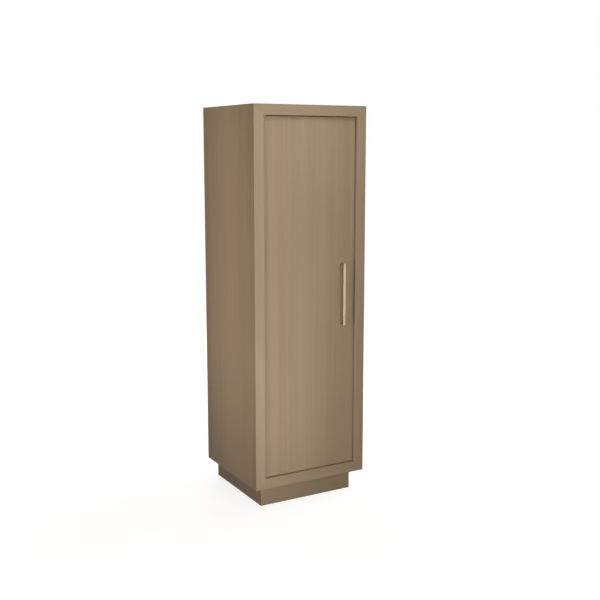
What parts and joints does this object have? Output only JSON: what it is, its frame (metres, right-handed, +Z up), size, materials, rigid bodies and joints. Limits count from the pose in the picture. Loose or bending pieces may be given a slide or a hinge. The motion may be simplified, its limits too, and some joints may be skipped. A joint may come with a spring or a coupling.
{
  "type": "tall storage cabinet",
  "caption": "Tall narrow wooden storage cabinet: slab door inset in a mitred front frame, upright brass bar pull, recessed plinth and shelves inside.",
  "frame": {"origin": "centre of the overall box on the floor, with the pull's projection counted in", "axes": "+Z up, +X to the right as one faces the door, +Y towards the back"},
  "size_m": [0.61, 0.579, 1.93],
  "materials": {
    "case_veneer": "greige stain, satin lacquer",
    "door_veneer": "greige stain, satin lacquer",
    "plinth_veneer": "greige stain, satin lacquer",
    "inner_veneer": "greige stain, matt lacquer",
    "back_board": "plain plywood, sealed",
    "core_wood": "bare softwood",
    "satin_brass": "satin, pale",
    "hinge_brass": "plain, satin",
    "screw_steel": "zinc plated",
    "washer_nylon": "natural nylon",
    "bumper_rubber": "soft, matt",
    "catch_plastic": "moulded, brown",
    "magnet_ferrite": "bare ferrite"
  },
  "bodies": {
    "case": {"back_panel": "back_board", "back_screws": "screw_steel", "bottom_panel": "case_veneer", "bottom_rail": "case_veneer", "bottom_spacers": "core_wood", "catch_housing": "catch_plastic", "catch_magnet": "magnet_ferrite", "catch_pole_plates": "screw_steel", "catch_screws": "screw_steel", "door_bumpers": "bumper_rubber", "door_stop_strip": "inner_veneer", "fixed_shelf": "inner_veneer", "hinge_case_screws": "hinge_brass", "hinge_lower_case_leaf": "hinge_brass", "hinge_lower_pin": "hinge_brass", "hinge_lower_washer": "washer_nylon", "hinge_upper_case_leaf": "hinge_brass", "hinge_upper_pin": "hinge_brass", "hinge_upper_washer": "washer_nylon", "left_liner": "inner_veneer", "left_side_panel": "case_veneer", "left_spacers": "core_wood", "left_stile": "case_veneer", "liner_bottom": "inner_veneer", "liner_top": "inner_veneer", "plinth_back": "plinth_veneer", "plinth_corner_blocks": "core_wood", "plinth_front": "plinth_veneer", "plinth_left": "plinth_veneer", "plinth_right": "plinth_veneer", "plinth_screws": "screw_steel", "right_liner": "inner_veneer", "right_side_panel": "case_veneer", "right_spacers": "core_wood", "right_stile": "case_veneer", "shelf_1": "inner_veneer", "shelf_2": "inner_veneer", "shelf_3": "inner_veneer", "shelf_4": "inner_veneer", "shelf_pins": "hinge_brass", "top_panel": "case_veneer", "top_rail": "case_veneer", "top_spacers": "core_wood", "wall_fixing_rail": "inner_veneer"},
    "door": {"door_panel": "door_veneer", "hinge_lower_door_leaf": "hinge_brass", "hinge_upper_door_leaf": "hinge_brass", "hinge_door_screws": "hinge_brass", "pull_bar": "satin_brass", "pull_post_upper": "satin_brass", "pull_post_lower": "satin_brass", "pull_screws": "screw_steel", "strike_plate": "screw_steel", "strike_screw": "screw_steel"}
  },
  "joints": [
    {"name": "door_swing", "type": "hinge", "parent": "case", "child": "door", "pos_m": [-0.235, -0.2465, 0], "axis": [0, 0, -1], "range_deg": [0, 110]}
  ]
}
